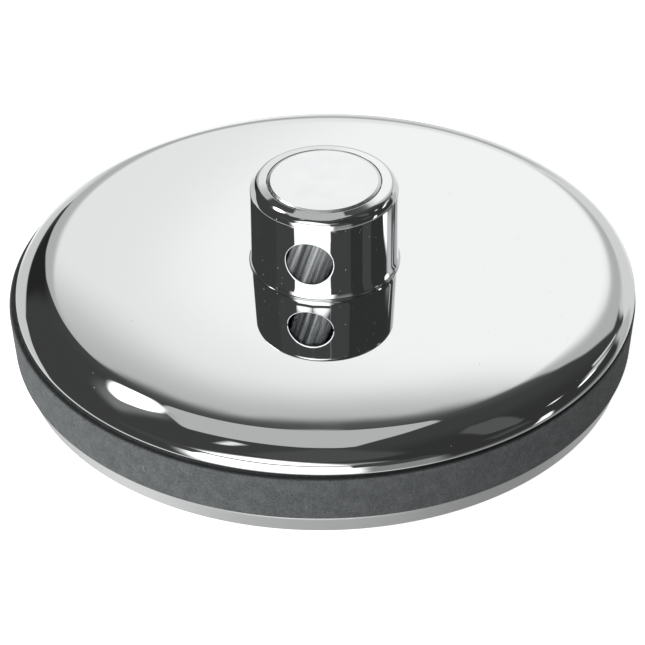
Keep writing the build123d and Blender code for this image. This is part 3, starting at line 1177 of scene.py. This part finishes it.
@dataclass
class Studio:
    """Camera, floor and soft light."""

    azimuth: float = 12.6
    elevation: float = 35.94
    distance: float = 0.5
    roll: float = -0.5
    focal_pixels: float = 3595.9
    frame_pixels: float = 645.0
    axis_foot_pixel: Point = (325.56, 343.71)
    sensor: float = 36.0
    floor_size: float = 3.0
    floor_gap: float = 0.02 * MM
    floor_colour: Colour = (0.8, 0.8, 0.8)
    floor_lift: float = 0.84
    left_lamp: Lamp = Lamp(-108.0, 14.0, 0.9, 0.6, 6.6)
    room_level: float = 0.05
    cards: dict[str, Card] = field(
        default_factory=lambda: {
            "room_right": Card(0.035, ((40, 70), (60, -60), (140, -60), (165, 40), (150, 80), (60, 84)), 8.0),
            "dark_left": Card(0.02, ((-38, 20), (-32, 27), (-22, 34), (-16, 30), (-18, 14), (-24, 14)), 3.0),
            "canopy": Card(0.075, ((-18, 40), (22, 40), (30, 47), (14, 53), (-10, 50)), 6.0),
            "overhead": Card(0.075, ((-180, 77), (-90, 77), (0, 77), (90, 77)), 2.0),
            "valley": Card(0.6, ((0, 0), (4, 16), (26, 26), (36, 28), (41, 26.5), (36, 14), (20, 0)), 1.5),
            "left_lobe": Card(
                0.63,
                ((-12, -60), (-19, 9), (-24, 14), (-29, 18), (-35, 22), (-40, 23.5), (-45, 22), (-50, 19),
                 (-56, 13), (-64, 3), (-69, -6), (-71, -15), (-73, -60)),
                0.8,
            ),
            "left_lobe_inner": Card(0.66, ((-26, -60), (-26, 7), (-19, 9), (8, 9), (8, -60)), 0.8),
            "left_lobe_bright": Card(1.05, ((-27, -24), (-27, -3), (-16, 1), (0, -8), (0, -24)), 6.0),
            "right_lobe": Card(
                0.7,
                ((15, -60), (20, 12), (30, 20), (36, 24.5), (41, 25), (49, 20.5), (54, 13), (58, 5),
                 (60, -5), (61, -12), (61, -60)),
                0.8,
            ),
            "right_lobe_inner": Card(0.7, ((5, -60), (5, 8), (20, 12), (30, 8), (30, -60)), 0.8),
            "right_lobe_shade": Card(0.5, ((47, 28), (47, -19), (61, -19), (60, 8), (55, 22)), 3.0),
            "right_lobe_bright": Card(0.98, ((8, -25), (10, -6), (28, -6), (32, -25)), 6.0),
            "centre_low": Card(0.42, ((-14, -4), (-12, 5), (12, 5), (14, -4)), 4.0),
            "mid_edge_left": Card(
                0.47,
                ((-12, 2), (-17, 9), (-20, 17), (-21, 24), (-19.5, 32), (-16, 37), (-12, 41.5), (-9, 44.7),
                 (-5, 46.7), (0, 47.3), (5, 46.7), (10, 44.4), (13, 3)),
                0.35,
            ),
            "mid_edge_right": Card(
                0.47,
                ((-5, 3), (13, 3), (20, 11), (25, 16), (30, 19.5), (36, 23), (40, 26), (42, 31), (40, 38),
                 (37, 42.5), (31, 45.5), (24, 47.2), (17, 46), (10, 44.6)),
                1.0,
            ),
            "mid_glow_left": Card(
                0.86,
                ((-9, 6), (-12, 13), (-15, 22), (-14.5, 32), (-12.4, 38), (-9.3, 43.3), (-5, 45.8),
                 (0, 46.6), (5, 45.8), (9, 43.9), (13, 5)),
                2.6,
            ),
            "mid_glow_right": Card(
                0.85,
                ((0, 5), (12, 5), (18, 14), (22, 20), (27, 26), (29, 33), (27, 40.5), (22, 44.6),
                 (17, 44.6), (9, 44.8)),
                5.0,
            ),
            "mid_bright": Card(
                1.0,
                ((3, 12), (-2, 22), (-8, 30), (-9, 35), (-7, 41), (-1, 44.8), (4, 45.4), (12, 44.2),
                 (17, 42.5), (23, 37), (22, 26), (13, 12)),
                3.8,
            ),
            "grey_panel": Card(
                0.49,
                ((-12, 48), (-20, 53), (-28, 58.5), (-37, 63), (-41.5, 66.5), (-38, 69.5), (-28, 73),
                 (-11, 75.3), (2, 77), (13, 74.7), (14, 62), (12.9, 54.6), (9, 51), (4, 48.8), (0, 48)),
                0.25,
            ),
            "softbox_halo": Card(
                0.2,
                ((-20, 49.5), (-34, 49), (-50, 51), (-60, 55), (-48, 59), (-34, 60.5), (-28, 58.5),
                 (-20, 53.5)),
                3.0,
            ),
            "softbox": Card(
                5.0,
                ((-14, 47.2), (-18, 46.8), (-24, 48.3), (-37, 52), (-40, 54), (-36, 56.5), (-28, 56.6),
                 (-18.5, 52.3)),
                1.0,
            ),
            "right_window": Card(
                1.6,
                ((65, 28.5), (68, 31), (77, 28.5), (80, 24), (76, 22.5), (69, 24)),
                0.8,
            ),
            "right_lamp": Card(1.6, ((71, 43), (71.5, 46.5), (76.5, 46.5), (77, 43)), 0.8),
            "right_line": Card(0.75, ((45.5, 29.5), (47.3, 29), (53.5, 38.5), (51.8, 39.2)), 0.6),
            "right_glow": Card(0.62, ((54, 26), (54, 36), (66, 36), (69, 26)), 3.0),
            "faint_post": Card(0.065, ((104, 20), (104, 37), (120, 37), (120, 20)), 1.0),
            "right_strip": Card(1.3, ((99, -12), (98.5, 9), (103, 9), (106.5, -12)), 1.2),
            "faint_sheet": Card(
                0.095,
                ((44, 65), (47, 61), (66, 57.5), (86, 50), (96, 46), (92, 58), (70, 66), (55, 68)),
                0.8,
            ),
            "small_lamp": Card(0.9, ((-40, 71.5), (-40, 74), (-58, 74), (-62, 72)), 0.8),
            "rear_wall": Card(
                1.6,
                ((-122, -60), (-122, 50), (-116, 62), (-106, 72), (-130, 80), (-160, 78), (180, 67),
                 (170, 60), (163, 50), (163, -60)),
                6.0,
            ),
            "rear_right_low": Card(0.26, ((168, -60), (168, 20), (141, 22), (141, -60)), 4.0),
            "rear_right_high": Card(0.3, ((168, 50), (168, 62), (156, 58), (153, 50)), 3.0),
            "notch_left": Card(0.06, ((-133, 24), (-133, 46), (-100, 46), (-100, 24)), 0.8),
            "notch_right": Card(0.06, ((171.3, 24), (171.3, 46), (140, 46), (140, 24)), 0.8),
            "camera_left": Card(0.06, ((-132, 38.5), (-132, 44.3), (-160, 44.3), (-160, 38.5)), 0.8),
            "camera_right": Card(0.06, ((-159, 38.5), (-159, 44.3), (171, 44.3), (171, 38.5)), 0.8),
            "table": Card(0.64, ((0, -19.5),), 2.0),
            "table_left": Card(1.0, ((-125, -24), (-55, -24), (-55, -88), (-125, -88)), 14.0),
            "table_right": Card(0.3, ((55, -12), (140, -12), (140, -80), (55, -80)), 12.0),
            "table_shade": Card(0.32, ((0, -64),), 4.0),
        }
    )

    def direction(self, azimuth: float, elevation: float) -> Vector:
        """Turn an azimuth and elevation seen from the camera into a unit vector."""
        turn = math.radians(azimuth - self.azimuth)
        rise = math.radians(elevation)
        return Vector((math.sin(turn) * math.cos(rise), math.cos(turn) * math.cos(rise), math.sin(rise)))

    @property
    def left(self) -> Vector:
        """Return the camera's left, level with the floor."""
        return self.direction(-QUARTER_TURN, 0.0)

    def place_camera(self) -> None:
        """Put the camera where the axis's foot lands on its pixel."""
        data = bpy.data.cameras.new("camera")
        data.sensor_width = self.sensor
        data.lens = self.sensor * self.focal_pixels / self.frame_pixels
        data.clip_start = self.distance * 0.1
        data.clip_end = self.floor_size * 10
        camera = bpy.data.objects.new("camera", data)
        bpy.context.scene.collection.objects.link(camera)
        back = self.direction(HALF_TURN, self.elevation)
        level = -self.left
        upright = back.cross(level)
        roll = math.radians(self.roll)
        right = level * math.cos(roll) + upright * math.sin(roll)
        up = upright * math.cos(roll) - level * math.sin(roll)
        scale = self.distance / self.focal_pixels
        across, down = ((pixel - self.frame_pixels / 2) * scale for pixel in self.axis_foot_pixel)
        aim = up * down - right * across
        eye = back * self.distance
        backwards = (eye - aim).normalized()
        sideways = up.cross(backwards).normalized()
        camera.matrix_world = Matrix.Translation(eye) @ Matrix(
            (sideways, backwards.cross(sideways), backwards)
        ).transposed().to_4x4()
        bpy.context.scene.camera = camera

    def lay_floor(self) -> None:
        """Lay a pale floor that keeps the object's shadow."""
        half = self.floor_size / 2
        sides = ((-half, -half), (half, -half), (half, half), (-half, half))
        mesh = bpy.data.meshes.new("floor")
        mesh.from_pydata([(x, y, -self.floor_gap) for x, y in sides], [], [(0, 1, 2, 3)])
        floor = bpy.data.objects.new("floor", mesh)
        bpy.context.scene.collection.objects.link(floor)
        floor.visible_glossy = False
        material = bpy.data.materials.new("pale_floor")
        material.use_nodes = True
        kit = NodeKit(material.node_tree)
        camera = kit.node("ShaderNodeLightPath", output="Is Camera Ray")
        matt = kit.node("ShaderNodeBsdfDiffuse", values={"Color": self.floor_colour})
        glow = {"Color": (1, 1, 1), "Strength": camera * self.floor_lift}
        lift = kit.node("ShaderNodeEmission", values=glow)
        both = kit.node("ShaderNodeAddShader", values={0: matt, 1: lift})
        kit.node("ShaderNodeOutputMaterial", values={"Surface": both})
        mesh.materials.append(material)

    def light_room(self) -> None:
        """Put the cards round the object in the world, with a white background for the camera."""
        world = bpy.data.worlds.new("studio")
        bpy.context.scene.world = world
        world.use_nodes = True
        kit = NodeKit(world.node_tree)
        looking = kit.node("ShaderNodeTexCoord", output="Generated")
        level: Value = self.room_level
        for card in self.cards.values():
            level = self._card_mask(kit, looking, card) * (card.level - level) + level
        grey = kit.node("ShaderNodeCombineColor", values={"Red": level, "Green": level, "Blue": level})
        camera = kit.node("ShaderNodeLightPath", output="Is Camera Ray")
        colour = kit.mix_colour(camera, grey, (1, 1, 1))
        light = kit.node("ShaderNodeBackground", values={"Color": colour, "Strength": 1.0})
        kit.node("ShaderNodeOutputWorld", values={"Surface": light})

    def _card_mask(self, kit: NodeKit, looking: Socket, card: Card) -> Socket:
        """Return 1 where a direction meets the card, fading over its soft edges."""
        if len(card.corners) == 1:
            edge = card.corners[0][1]
            low, high = (math.sin(math.radians(edge + side * card.softness)) for side in (-1, 1))
            return 1.0 - kit.axes(looking)[2].ramp(low, high)
        corners = [self.direction(*corner) for corner in card.corners]
        middle = sum(corners, Vector())
        blur = math.sin(math.radians(card.softness))
        mask = None
        for here, there in zip(corners, corners[1:] + corners[:1]):
            inwards = here.cross(there).normalized()
            if inwards.dot(middle) < 0:
                inwards.negate()
            inside = kit.vector("DOT_PRODUCT", looking, inwards, "Value").ramp(-blur, blur)
            mask = inside if mask is None else mask * inside
        return mask

    def hang_lamp(self, name: str, lamp: Lamp) -> None:
        """Hang a lamp, facing the object, that neither metal nor the camera sees."""
        data = bpy.data.lights.new(name, "AREA")
        data.energy = lamp.power
        data.size = lamp.size
        hung = bpy.data.objects.new(name, data)
        bpy.context.scene.collection.objects.link(hung)
        towards = self.direction(lamp.azimuth, lamp.elevation)
        facing = towards.to_track_quat("Z", "Y").to_matrix().to_4x4()
        hung.matrix_world = Matrix.Translation(towards * lamp.distance) @ facing
        hung.visible_glossy = False
        hung.visible_camera = False

    def build(self) -> None:
        """Set up the camera, the floor and the light."""
        self.place_camera()
        self.lay_floor()
        self.light_room()
        self.hang_lamp("left_lamp", self.left_lamp)
        bpy.context.scene.view_settings.view_transform = "Standard"


def main() -> None:
    """Build the pieces in order and light them."""
    logging.basicConfig(level=logging.INFO, format="%(name)s: %(message)s")
    studio = Studio()
    turning = Turning()
    CoverShell().build(turning)
    FingerKnob().build()
    KnobInlay().build(turning)
    SealRing().build(turning, studio.left)
    BottomPlate().build(turning, studio.left)
    InnerParts().dress()
    studio.build()


if __name__ == "__main__":
    main()
